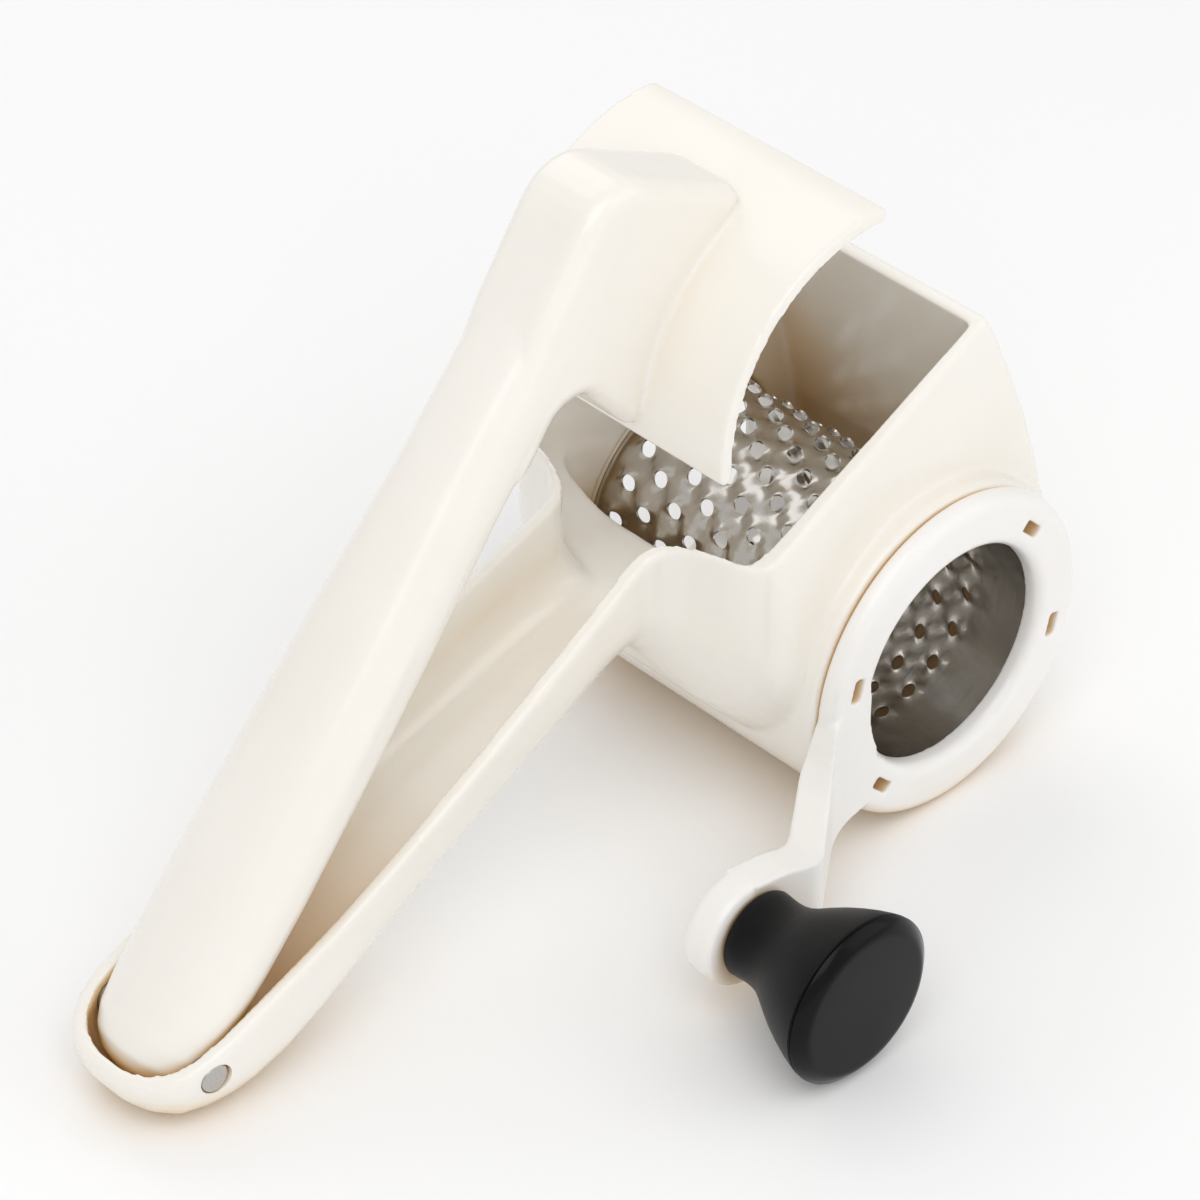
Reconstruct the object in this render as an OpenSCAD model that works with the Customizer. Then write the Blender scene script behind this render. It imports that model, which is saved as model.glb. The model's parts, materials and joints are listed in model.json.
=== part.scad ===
// Rotary cheese grater: a hopper and barrel with a trough-shaped lower handle, a hinged
// press lever, a perforated drum turned by a ring crank, and a knob that spins on its axle.
// Everything is placed around the drum's axis, then moved so that the table is z = 0.

/* [Drum] */
// Outer radius of the drum's sheet
drum_r = 25; // [24.6:0.1:25]
// Thickness of the drum's sheet
sheet_t = 0.5; // [0.4:0.1:0.8]
// Radius of one grating hole
hole_r = 1.5; // [1:0.1:1.8]
// Grating holes around the drum
holes_around = 20; // [10:2:22]
// Rows of grating holes along the drum
hole_rows = 9; // [3:2:9]
// Distance between two rows of holes
row_pitch = 6.4; // [5:0.2:6.6]

/* [Body] */
// Outer radius of the barrel
barrel_r = 35; // [34.8:0.1:36]
// Radius of the chamber around the drum
chamber_r = 32.8; // [31:0.2:33]
// Half length of the barrel, with its two collars
barrel_half = 40; // [39.5:0.1:41]
// Half width of the hopper at its rim
hopper_half = 33; // [32.8:0.1:34]
// Half width of the hopper low down, at the barrel
hopper_foot_half = 36.5; // [35:0.1:36.5]
// Half width of the space inside the hopper
hopper_in_half = 31; // [30.8:0.1:31.2]
// Thickness of the hopper's far wall and of the chute
wall = 2.5; // [2:0.1:3]
// Half width of the lower handle
handle_half = 17; // [16.6:0.1:18]
// Half width of the trough inside the lower handle
trough_half = 14.4; // [14.2:0.1:14.6]
// Half width of the lower handle at its waist, before it flares out to the hopper
waist_half = 14; // [13.8:0.1:15]
// Slope of the lower handle's underside
handle_slope = 25; // [24.5:0.5:25.5]

/* [Press lever] */
// Slope of the lever's bar as it stands
lever_slope = 49.3; // [48:0.1:50]
// Half width of the bar near its pin
bar_half = 13.6; // [12:0.1:13.8]
// Half width of the web that carries the pusher
web_half = 9.5; // [8:0.5:11]
// Half width of the pusher
pusher_half = 30; // [28:0.5:30]

/* [Pivot pin] */
// Radius of the pivot pin
pin_r = 3.1; // [2.5:0.1:3.4]
// Running clearance around the pin in the lever
pin_clearance = 0.08; // [0.02:0.02:0.1]

/* [Crank] */
// Outer radius of the crank's ring
ring_r = 34.8; // [34:0.1:34.8]
// Radius of the ring's opening
opening_r = 23.5; // [22:0.1:24]
// Distance from the drum's axis to the knob's axis
crank_r = 72; // [70:0.5:74]
// Height of the knob's axis against the drum's axis
knob_drop = -17.2; // [-18:0.1:-17]
// Direction of the axis between the snap hooks
hook_axis = 196; // [190:1:200]
// Angle of each snap hook to that axis
hook_spread = 30; // [26:1:34]

/* [Knob] */
// Radius of the knob at its neck
knob_neck_r = 9; // [8:0.5:10]
// Largest radius of the knob
knob_r = 17.5; // [16:0.1:17.5]
// Radius of the axle in the knob
axle_r = 2.5; // [2:0.1:3]

/* [Hidden] */
$fn = 96;
cut = 0.5; // how far a cutting shape runs past what it cuts

// The drum's axis stands at x = place_x, y = place_y and z = barrel_r above the table
place_x = 71.1;
place_y = 24;

// Pivot of the lever, against the drum's axis
pin_x = -164;
pin_z = -22.5;
pin_half = 17.4;

// Bearings, snap hooks and the faces where the crank's ring meets the barrel
bearing_r = 26.4;
sleeve_r = 26.3;
wall_in = 31.6;
wall_out = 36.2;
lip_in = 38.6;
lip_r = 27.5;
groove_r = 29.9;
ring_back = -barrel_half - 0.3;
ring_front = -44.5;
sheet_front = -40.8;
sheet_back = 36;
end_ring_back = 37.4;
hook_in_r = 26.45;
hook_out_r = 27.3;
hook_tip_r = 29.3;
hook_width = 5;
window_wide = 2.5;
window_long = 5.2;

// Knob, along the drum's axis
boss_r = 11.6;
boss_back = -51.5;
boss_front = -59.6;
knob_front = -60;
cap_seat = -85.4;
cap_end = -88;
cap_face_r = 14.7;
head_room_r = 7.2;
head_r = 5;
head_back = -82;
head_front = -83.6;
knob_x = -sqrt(crank_r * crank_r - knob_drop * knob_drop);

// Where the lower handle ends and the flare to the hopper begins
flare_x = -59;

// Sweep radii around the pivot: the far wall, the pusher between them, and the chute
far_in_r = 198;
far_out_r = far_in_r + wall;
chute_r = 138.8;

// Unit vector of v
function unit(v) = v / norm(v);
// Points of the arc of radius r around the point m, from angle a0 to a1
function arc(m, r, a0, a1, n) = [for (i = [0:n]) let(a = a0 + (a1 - a0) * i / n) m + r * [cos(a), sin(a)]];
// Points that round the corner b between a and c with radius r
function corner(a, b, c, r, n) =
    let(u = unit(a - b), v = unit(c - b), half = acos(u * v) / 2,
        m = b + unit(u + v) * r / sin(half), p = b + u * r / tan(half) - m,
        q = b + v * r / tan(half) - m, a0 = atan2(p.y, p.x),
        sweep = (atan2(q.y, q.x) - a0 + 540) % 360 - 180)
    arc(m, r, a0, a0 + sweep, n);
// Outline through [x, z, radius] points, each corner rounded by its radius
function rounded(pts, n = 5) = [for (i = [0:len(pts) - 1])
    let(k = len(pts), a = pts[(i + k - 1) % k], b = pts[i], c = pts[(i + 1) % k])
    each b.z > 0 ? corner([a.x, a.y], [b.x, b.y], [c.x, c.y], b.z, n) : [[b.x, b.y]]];

// Moves the model from the drum's axis to its place on the table
module placed() translate([place_x, place_y, barrel_r]) children();
// Extrudes an outline in X and Z along Y, from y0 to y1
module along_y(y0, y1) translate([0, y1, 0]) rotate([90, 0, 0]) linear_extrude(y1 - y0) children();
// Cylinder along Y, around the point [x, z]
module rod_y(r, y0, y1, at = [0, 0])
    translate([at.x, y0, at.y]) rotate([-90, 0, 0]) cylinder(r = r, h = y1 - y0);
// Turns an outline of [radius, y] points around an axis along Y through [x, z]
module turned(pts, at = [0, 0])
    translate([at.x, 0, at.y]) rotate([-90, 0, 0]) rotate_extrude() polygon(pts);
// Prism with rounded lower edges, from the point [x, z] up a slope: half width, edge radius
module keel(at, slope, half, edge_r)
    translate([at.x, 0, at.y]) rotate([0, -slope, 0]) translate([-40, 0, 0])
        rotate([90, 0, 90]) linear_extrude(200)
            polygon(rounded([[-half, 70, 0], [-half, 0, edge_r], [half, 0, edge_r], [half, 70, 0]], 8));
// Form of the lower handle: level near the pivot, then up its slope
module handle_bar(half, edge_r, lift) intersection() {
    keel([-158, -barrel_r + lift], handle_slope, half, edge_r);
    keel([-158, -barrel_r + lift], 0, half, edge_r);
}

// Side outline of the hopper and the lower handle, without the barrel
side_outline = concat(
    rounded([[-20, -20, 0], [-26.5, -22.9, 0], [-57.4, 11.8, 12],
             [-155, -barrel_r, 30], [-165.5, -barrel_r, 8], [-177.5, -27, 6],
             [-177.5, -22.5, 1.5], [-166, -18, 20],
             [-151, -11.5, 60], [-116, 3.5, 60], [-78, 22.8, 0], [-52, 35.6, 10],
             [-46, 37.8, 4], [-42, 37.4, 4]]),
    [[-40, 38.6]], arc([pin_x, pin_z], far_out_r, 26.2, 6.4, 8));
// Half of the plan outline, from the far wall to the handle's end, for the inset of a wall
function plan_half(inset) = [
    [36 - inset, 0, 0], [36 - inset, hopper_foot_half + 1 - inset, 5], [-41, hopper_foot_half + 1 - inset, 0],
    [-43.5, hopper_half - inset, 5], [-47.5, 21 - inset, 0], [-51.5, waist_half - inset, 5],
    [-62, waist_half + 0.6 - inset, 0], [-80, waist_half + 1.8 - inset, 0], [-108, handle_half - inset, 0],
    [-166, handle_half - inset, 10], [-177.5 + inset, 9, 6], [-177.5 + inset, 0, 0]];
// Whole plan outline of the body, as an upright prism
module plan(inset) translate([0, 0, -60]) linear_extrude(150) {
    half_outline = rounded(plan_half(inset));
    polygon(half_outline);
    mirror([0, 1]) polygon(half_outline);
}
// Cuts the hopper's sides to their draft: narrow at the rim, wide at the barrel
module draft() translate([-200, 0, 0]) rotate([90, 0, 90]) linear_extrude(260)
    polygon([[-hopper_half, 70], [-hopper_foot_half, 5], [-hopper_foot_half, -60],
             [hopper_foot_half, -60], [hopper_foot_half, 5], [hopper_half, 70]]);

// Space in the hopper, between the chute and the far wall
module hopper_space() along_y(-hopper_in_half, hopper_in_half)
    polygon(concat(arc([pin_x, pin_z], chute_r, 5, 19.4, 6), [[-30, 30], [-30, 90], [20, 90]],
                   arc([pin_x, pin_z], far_in_r, 27, 5, 8), [[20, 0]]));
// Space in the trough of the lower handle, up to the chute's crest
module trough_space() {
    intersection() {
        along_y(-20, 20) polygon([[-60, -40], [-160, -40], [-167, -32], [-175, -26], [-175, 80], [-57, 80],
                                  [-57, 0]]);
        handle_bar(trough_half, 7, 3);
        plan(handle_half - trough_half);
    }
    intersection() {
        along_y(-hopper_in_half, hopper_in_half)
            polygon(rounded([[-59, 15.2, 0], [-40, 16.4, 8], [-29, 14, 0], [-28, 90, 0], [-59, 90, 0]]));
        plan(handle_half - trough_half);
    }
}
// Outer form of the body
module body_form() {
    rod_y(barrel_r, -barrel_half, barrel_half);
    intersection() {
        along_y(-40, 40) polygon(side_outline);
        plan(0);
        draft();
        union() {
            handle_bar(handle_half, 12, 0);
            translate([flare_x, -50, -60]) cube([120, 100, 160]);
        }
    }
}
module body() color("ivory") placed() difference() {
    body_form();
    rod_y(chamber_r, -hopper_in_half, hopper_in_half);
    hopper_space();
    trough_space();
    rod_y(bearing_r, -barrel_half, barrel_half);
    for (side = [-1, 1]) {
        rod_y(groove_r, min(side * wall_out, side * lip_in), max(side * wall_out, side * lip_in));
        rod_y(lip_r, min(side * lip_in, side * (barrel_half + cut)),
              max(side * lip_in, side * (barrel_half + cut)));
    }
    rod_y(pin_r, -handle_half - cut, handle_half + cut, [pin_x, pin_z]);
}

// Bar of the lever: radius of its root around the pin, and half its thickness
bar_root_r = 8.6;
bar_thick = 9;
function bar_point(s, m) = [pin_x, pin_z] + s * [cos(lever_slope), sin(lever_slope)]
    + m * [-sin(lever_slope), cos(lever_slope)];
// Outlines in X and Z of the bar and of the web between the bar and the pusher
bar_outline = let(low = bar_point(25, -bar_thick), under = bar_point(128, -bar_thick),
                  top = bar_point(150, bar_thick - 1), high = bar_point(25, bar_thick))
    concat(arc([pin_x, pin_z], bar_root_r, lever_slope + 90, lever_slope + 270, 12),
           [low, under, [-60, 100], top, high]);
web_outline = let(under = bar_point(112, -bar_thick), inside = bar_point(100, 0),
                  top = bar_point(146, bar_thick - 0.5))
    rounded([[inside.x, inside.y, 0], [under.x, under.y, 20], [-68, 80, 6], [-51, 60.5, 0], [-47, 70, 0],
             [-40, 86, 0], [-27, 96, 0], [-24, 101, 0], [-60, 119, 12], [top.x, top.y, 25]]);
// Side outline of the pusher's shell: outer side, tip, inner side, tip
pusher_outline = let(m = [-13, 63])
    concat(arc(m, 37.6, 85, 184, 14), [[-50.4, 58.6], [-48.6, 58.6]], arc(m, 34.8, 184, 84, 14),
           [[-8.7, 97.9], [-8.6, 98.9]]);
// Half of the bar's plan, from its root along its length: [distance, half width]
bar_plan_half = [[-9, 0], [-9, -3], [-7, -6], [-3, -8.8], [4, -11], [14, -13], [22, -bar_half],
                 [40, -bar_half], [120, -web_half], [190, -web_half], [190, 0]];
module lever() color("ivory") placed() difference() {
    union() {
        intersection() {
            along_y(-bar_half, bar_half) polygon(bar_outline);
            // Plan of the bar, narrower towards the web
            translate([pin_x, 0, pin_z]) rotate([0, -lever_slope, 0]) translate([0, 0, -60])
                linear_extrude(150) {
                    polygon(bar_plan_half);
                    mirror([0, 1]) polygon(bar_plan_half);
                }
            // Section of the bar, with rounded edges
            translate([pin_x, 0, pin_z]) rotate([0, -lever_slope, 0]) translate([-20, 0, 0])
                rotate([90, 0, 90]) linear_extrude(200) polygon(rounded([
                    [-bar_half, -bar_thick, 8], [bar_half, -bar_thick, 8],
                    [bar_half, bar_thick, 8], [-bar_half, bar_thick, 8]]));
        }
        along_y(-web_half, web_half) polygon(web_outline);
        along_y(-pusher_half, pusher_half) polygon(pusher_outline);
    }
    rod_y(pin_r + pin_clearance, -bar_half - cut, bar_half + cut, [pin_x, pin_z]);
}
module pivot_pin() color("silver") placed() rod_y(pin_r, -pin_half, pin_half, [pin_x, pin_z]);

// Perforated drum: rows of holes, each row turned by half a hole against the last
module drum_sheet() color("silver") placed() difference() {
    rod_y(drum_r, sheet_front, sheet_back);
    rod_y(drum_r - sheet_t, sheet_front - cut, sheet_back + cut);
    for (row = [0:hole_rows - 1], i = [0:holes_around - 1])
        translate([0, (row - (hole_rows - 1) / 2) * row_pitch, 0])
            rotate([0, (i + (row % 2) / 2) * 360 / holes_around, 0])
                translate([0, 0, drum_r - 3]) cylinder(r = hole_r, h = 6, $fn = 24);
}
// Plastic sleeve around the drum, from y0 to y1, that turns in the body's wall
module sleeve(y0, y1) difference() {
    rod_y(sleeve_r, y0, y1);
    rod_y(drum_r, y0 - cut, y1 + cut);
}
module drum_hub() color("whitesmoke") placed() sleeve(-wall_out, -wall_in);
module drum_end_ring() color("whitesmoke") placed() union() {
    sleeve(wall_in, sheet_back);
    turned([[drum_r - sheet_t, sheet_back], [sleeve_r, sheet_back], [sleeve_r, end_ring_back],
            [drum_r - sheet_t, end_ring_back]]);
}

// Crank: ring with windows and snap hooks, arm and boss, in one moulding
module snap_hooks() intersection() {
    turned([[hook_in_r, -wall_out - 0.3], [hook_in_r, ring_back - cut], [hook_out_r, ring_back - cut],
            [hook_out_r, -lip_in + 0.2], [hook_tip_r, -lip_in + 0.2], [hook_out_r, -wall_out - 0.3]]);
    for (side = [0, 180], spread = [-1, 1])
        rotate([0, -(hook_axis + side + spread * hook_spread), 0])
            translate([20, -50, -hook_width / 2]) cube([15, 20, hook_width]);
}
module windows() for (side = [0, 180], spread = [-1, 1])
    rotate([0, -(hook_axis + side + spread * hook_spread), 0])
        translate([hook_out_r, ring_front - cut, -window_long / 2]) cube([window_wide, 6, window_long]);
// Outline of the arm in X and Z, from the ring to the boss
arm_outline = rounded([
    [-26, 4, 0], [-35, 2, 4], [-40, -8, 10], [-52, -11, 12], [-62, -7.5, 10], [-70, -5.7, 0],
    [-70, -28.7, 0], [-60, -29, 10], [-50, -26, 14], [-38, -29, 8], [-29, -25, 5], [-22, -18, 0]]);
module arm() intersection() {
    along_y(-65, -30) polygon(arm_outline);
    // Outline in X and Y: the arm steps outward between the ring and the boss
    linear_extrude(100, center = true)
        polygon(rounded([
            [-15, ring_back, 0], [-37, ring_back, 10], [-53, boss_back, 10], [-90, boss_back, 0],
            [-90, boss_front, 0], [-58, boss_front, 12], [-33, ring_front, 12], [-15, ring_front, 0]]));
}
module crank() color("white") placed() difference() {
    union() {
        difference() {
            union() {
                turned(concat([[opening_r, ring_back], [ring_r - 0.6, ring_back], [ring_r, ring_back - 0.6]],
                              arc([ring_r - 3.2, ring_front + 3.2], 3.2, 0, -90, 6),
                              arc([opening_r + 3, ring_front + 3], 3, -90, -180, 6)));
                arm();
            }
            rod_y(opening_r, -70, -30);
            windows();
        }
        snap_hooks();
        turned([[boss_r, boss_front], [boss_r, boss_back + 2], [boss_r - 2, boss_back], [0, boss_back],
                [0, boss_front]], [knob_x, knob_drop]);
    }
    rod_y(drum_r, sheet_front, ring_back + cut);
    rod_y(axle_r, boss_front - cut, boss_back + 2, [knob_x, knob_drop]);
}

// Knob: turned form from the neck to the seat of its cap, hollow for the axle's head
module knob() color("black") placed() difference() {
    turned([[0, knob_front], [knob_neck_r, knob_front], [8.8, -64], [8.9, -66], [9.6, -68.5], [11, -71],
            [13, -74.5], [14.8, -78], [16.4, -82], [knob_r, cap_seat], [0, cap_seat]], [knob_x, knob_drop]);
    rod_y(axle_r + pin_clearance, cap_seat - cut, knob_front + cut, [knob_x, knob_drop]);
    rod_y(head_room_r, cap_seat - cut, cap_seat + 5, [knob_x, knob_drop]);
}
module knob_cap() color("black") placed()
    turned([[0, cap_seat], [knob_r, cap_seat], [cap_face_r, cap_end], [0, cap_end]], [knob_x, knob_drop]);
module knob_axle() color("silver") placed() union() {
    rod_y(axle_r, head_back, boss_back + 2, [knob_x, knob_drop]);
    rod_y(head_r, head_front, head_back, [knob_x, knob_drop]);
}

body();
lever();
pivot_pin();
drum_sheet();
drum_hub();
drum_end_ring();
crank();
knob();
knob_cap();
knob_axle();
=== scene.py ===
import json
import math

import bpy
from mathutils import Matrix, Vector


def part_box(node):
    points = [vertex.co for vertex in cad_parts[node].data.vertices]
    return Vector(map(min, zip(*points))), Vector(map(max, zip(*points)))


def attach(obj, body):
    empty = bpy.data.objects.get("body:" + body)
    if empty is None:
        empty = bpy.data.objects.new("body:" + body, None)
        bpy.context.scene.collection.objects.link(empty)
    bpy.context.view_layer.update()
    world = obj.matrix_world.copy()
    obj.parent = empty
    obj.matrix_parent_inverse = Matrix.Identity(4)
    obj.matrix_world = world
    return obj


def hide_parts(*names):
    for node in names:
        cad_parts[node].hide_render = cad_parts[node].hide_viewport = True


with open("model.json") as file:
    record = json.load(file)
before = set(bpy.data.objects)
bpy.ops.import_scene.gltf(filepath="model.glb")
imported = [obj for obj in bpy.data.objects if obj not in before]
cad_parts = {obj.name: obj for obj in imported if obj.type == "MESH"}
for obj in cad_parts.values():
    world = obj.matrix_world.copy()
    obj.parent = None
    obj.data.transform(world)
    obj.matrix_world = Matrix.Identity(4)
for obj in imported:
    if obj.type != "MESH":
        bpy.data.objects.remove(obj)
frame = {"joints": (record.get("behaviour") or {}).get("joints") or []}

bl_info = {
    "name": "Rotary Cheese Grater",
    "version": (1, 0, 0),
    "blender": (4, 5, 0),
    "location": "View3D > Sidebar > Grater",
    "description": "Builds the shells, drum, crank and knob of a rotary cheese grater around its frame",
    "category": "Add Mesh",
}

MM = 0.001
# Centre points of the three joints: the drum's axis, the lever's pin and the knob's axle
JOINTS = {joint["name"]: Vector(joint["pos_m"]) for joint in frame["joints"]}
DRUM_AXIS = JOINTS["crank_spin"]
PIN = (JOINTS["lever_hinge"] - DRUM_AXIS) / MM
KNOB = (JOINTS["knob_spin"] - DRUM_AXIS) / MM
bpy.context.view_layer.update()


# --- Places and outlines, in millimetres around the drum's axis ---------------------------------

def place(x, y, z):
    """A point given in mm around the drum's axis, in the frame's metres."""
    return DRUM_AXIS + Vector((x, y, z)) * MM


def arc(centre, radius, start, end, steps):
    """Points of an arc in a flat outline, with its angles in degrees."""
    turns = [math.radians(start + (end - start) * i / steps) for i in range(steps + 1)]
    return [(centre[0] + radius * math.cos(t), centre[1] + radius * math.sin(t)) for t in turns]


def rounded(corners, steps=6):
    """An outline through (a, b, radius) corners, each one rounded by its own radius."""
    points = []
    for i, (a, b, radius) in enumerate(corners):
        here = Vector((a, b))
        before = Vector(corners[i - 1][:2]) - here
        after = Vector(corners[(i + 1) % len(corners)][:2]) - here
        if radius == 0:
            points.append((a, b))
            continue
        u, v = before.normalized(), after.normalized()
        half = u.angle(v) / 2
        centre = here + (u + v).normalized() * radius / math.sin(half)
        first = here + u * radius / math.tan(half) - centre
        last = here + v * radius / math.tan(half) - centre
        start = math.atan2(first.y, first.x)
        sweep = (math.atan2(last.y, last.x) - start + 3 * math.pi) % (2 * math.pi) - math.pi
        for k in range(steps + 1):
            t = start + sweep * k / steps
            points.append((centre.x + radius * math.cos(t), centre.y + radius * math.sin(t)))
    return points


def mirrored(half):
    """A whole outline from the half with b above zero, whose ends lie on b = 0."""
    return half + [(a, -b) for a, b in reversed(half) if b > 0]


# --- Mesh tools ----------------------------------------------------------------------------------

def clear_selection():
    if bpy.context.object and bpy.context.object.mode != "OBJECT":
        bpy.ops.object.mode_set(mode="OBJECT")
    bpy.ops.object.select_all(action="DESELECT")


def activate(piece):
    clear_selection()
    piece.select_set(True)
    bpy.context.view_layer.objects.active = piece


def edit(piece):
    """Opens a piece in edit mode with all of it selected."""
    activate(piece)
    bpy.ops.object.mode_set(mode="EDIT")
    bpy.ops.mesh.select_all(action="SELECT")


def done():
    bpy.ops.object.mode_set(mode="OBJECT")


def ring_of(name, points, filled):
    """A loop of edges, or a face, through points in mm around the drum's axis."""
    clear_selection()
    fill = "NGON" if filled else "NOTHING"
    bpy.ops.mesh.primitive_circle_add(vertices=len(points), radius=MM, fill_type=fill, location=(0, 0, 0))
    piece = bpy.context.object
    piece.name = name
    for vertex, point in zip(piece.data.vertices, points):
        vertex.co = place(*point)
    return piece


def prism(name, outline, low, high, axis="Y"):
    """A closed prism over a flat outline, along X, Y or Z, from low to high."""
    lift = {"X": lambda a, b: (low, a, b), "Y": lambda a, b: (a, low, b), "Z": lambda a, b: (a, b, low)}[axis]
    piece = ring_of(name, [lift(a, b) for a, b in outline], filled=True)
    along = {"X": (1, 0, 0), "Y": (0, 1, 0), "Z": (0, 0, 1)}[axis]
    edit(piece)
    bpy.ops.mesh.extrude_region_move(
        TRANSFORM_OT_translate={"value": Vector(along) * (high - low) * MM})
    bpy.ops.mesh.select_all(action="SELECT")
    bpy.ops.mesh.normals_make_consistent(inside=False)
    done()
    return piece


def lathe(name, profile, centre=(0, 0), steps=96, closed=False):
    """Spins a profile of (radius, y) points around an axis along Y. A closed profile makes a ring."""
    piece = ring_of(name, [(centre[0] + r, y, centre[1]) for r, y in profile], filled=False)
    edit(piece)
    if not closed:
        # The edge that closes the loop lies on the axis, so it goes before the spin
        bpy.ops.mesh.select_all(action="DESELECT")
        done()
        ends = {0, len(profile) - 1}
        for edge in piece.data.edges:
            edge.select = set(edge.vertices) == ends
        bpy.ops.object.mode_set(mode="EDIT")
        bpy.ops.mesh.select_mode(type="EDGE")
        bpy.ops.mesh.delete(type="EDGE")
        bpy.ops.mesh.select_mode(type="VERT")
    bpy.ops.mesh.select_all(action="SELECT")
    bpy.ops.mesh.spin(steps=steps, angle=2 * math.pi, center=place(centre[0], 0, centre[1]), axis=(0, 1, 0))
    bpy.ops.mesh.select_all(action="SELECT")
    bpy.ops.mesh.remove_doubles(threshold=1e-6)
    bpy.ops.mesh.normals_make_consistent(inside=False)
    done()
    return piece


def loft(name, rings):
    """A closed skin over rings of the same number of points, ended by a face at each end."""
    piece = ring_of(name, rings[0], filled=True)
    count = len(rings[0])
    for ring in rings[1:]:
        edit(piece)
        bpy.ops.mesh.select_all(action="DESELECT")
        done()
        last = len(piece.data.vertices) - count
        for face in piece.data.polygons:
            face.select = len(face.vertices) == count and min(face.vertices) >= last
        for vertex in piece.data.vertices:
            vertex.select = vertex.index >= last
        bpy.ops.object.mode_set(mode="EDIT")
        bpy.ops.mesh.extrude_region_move(TRANSFORM_OT_translate={"value": (0, 0, MM)})
        done()
        for vertex, point in zip(piece.data.vertices[-count:], ring):
            vertex.co = place(*point)
    edit(piece)
    bpy.ops.mesh.normals_make_consistent(inside=False)
    done()
    return piece


def apply(piece, kind, **values):
    """Adds a modifier with its values and applies it."""
    activate(piece)
    modifier = piece.modifiers.new(kind.lower(), kind)
    for name, value in values.items():
        setattr(modifier, name, value)
    bpy.ops.object.modifier_apply(modifier=modifier.name)


def combine(piece, operation, *tools):
    """Cuts, joins or intersects a piece with tools, which are used up."""
    for tool in tools:
        apply(piece, "BOOLEAN", operation=operation, object=tool, solver="EXACT")
        bpy.data.objects.remove(tool)
    return piece


def join(piece, *others):
    activate(piece)
    for other in others:
        other.select_set(True)
    bpy.ops.object.join()
    return piece


def mould(piece, grain, rounds):
    """Fuses the closed forms of a moulding into one skin, whose edges and inner corners are rounded."""
    apply(piece, "REMESH", mode="VOXEL", voxel_size=grain * MM)
    apply(piece, "SMOOTH", factor=0.5, iterations=rounds)
    return piece


def thin_out(piece, limit=190000):
    """Brings a piece under a number of triangles."""
    triangles = sum(len(face.vertices) - 2 for face in piece.data.polygons)
    if triangles > limit:
        apply(piece, "DECIMATE", ratio=limit / triangles)


def finish_piece(piece, name, body, material, nodes, angle):
    """Names a piece, shades and paints it, and sets it on its body in place of its CAD nodes."""
    piece.name = name
    piece.data.name = name
    activate(piece)
    bpy.ops.object.shade_smooth_by_angle(angle=math.radians(angle))
    piece.data.materials.clear()
    piece.data.materials.append(material)
    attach(piece, body)
    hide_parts(*nodes)
    clear_selection()


# --- Materials -----------------------------------------------------------------------------------

def linear(code):
    """A linear colour from an sRGB hex code."""
    parts = [int(code[i:i + 2], 16) / 255 for i in (0, 2, 4)]
    return [c / 12.92 if c <= 0.04045 else ((c + 0.055) / 1.055) ** 2.4 for c in parts] + [1.0]


def add(material, kind, links=(), **settings):
    """Adds a node with its settings, and links (socket, from node, from socket) into it."""
    tree = material.node_tree
    node = tree.nodes.new(kind)
    for name, value in settings.items():
        if hasattr(node, name):
            setattr(node, name, value)
        else:
            node.inputs[name.replace("_", " ")].default_value = value
    for socket, source, output in links:
        tree.links.new(source.outputs[output], node.inputs[socket])
    return node


def surface(name, **values):
    """A new material with its Principled shader, and its Object coordinates."""
    material = bpy.data.materials.new(name)
    material.use_nodes = True
    shader = material.node_tree.nodes["Principled BSDF"]
    for socket, value in values.items():
        shader.inputs[socket.replace("_", " ")].default_value = value
    coordinates = add(material, "ShaderNodeTexCoord")
    return material, shader, coordinates


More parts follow.
